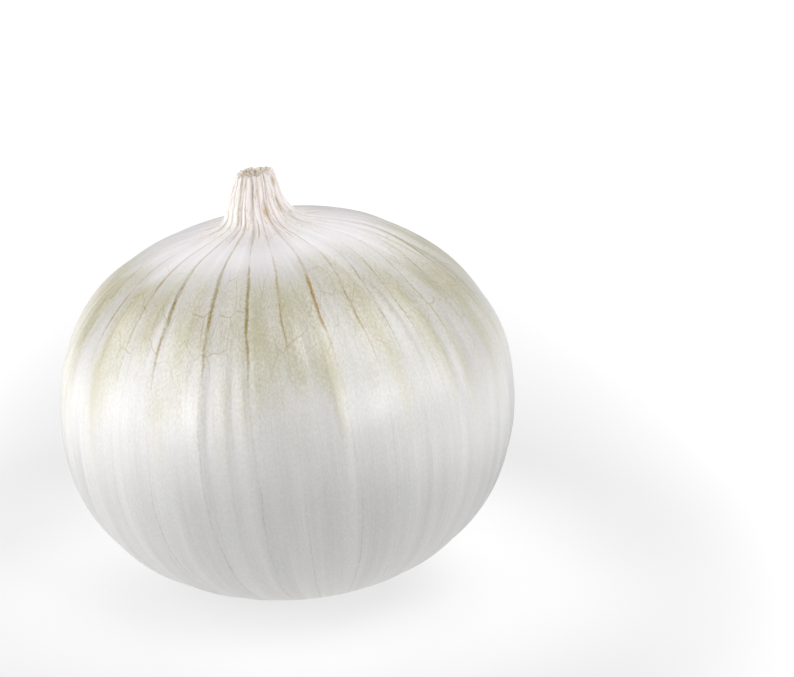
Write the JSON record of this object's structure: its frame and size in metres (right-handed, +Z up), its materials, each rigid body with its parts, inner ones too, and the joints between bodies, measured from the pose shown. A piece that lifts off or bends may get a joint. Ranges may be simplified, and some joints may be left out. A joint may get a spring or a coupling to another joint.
{
  "type": "onion",
  "caption": "Round white onion in its dry skin, leaning a little, with a pleated cut neck at the top and a small root plate underneath.",
  "frame": {"origin": "on the surface it stands on, under the middle of the bulb's box", "axes": "+Z up; the neck leans 6 degrees towards -X; -Y is the side towards the camera"},
  "size_m": [0.086, 0.086, 0.081],
  "materials": {
    "skin": "satin",
    "root": "matte"
  },
  "bodies": {
    "root": {"bulb": "skin", "root_plate": "root"}
  },
  "joints": []
}
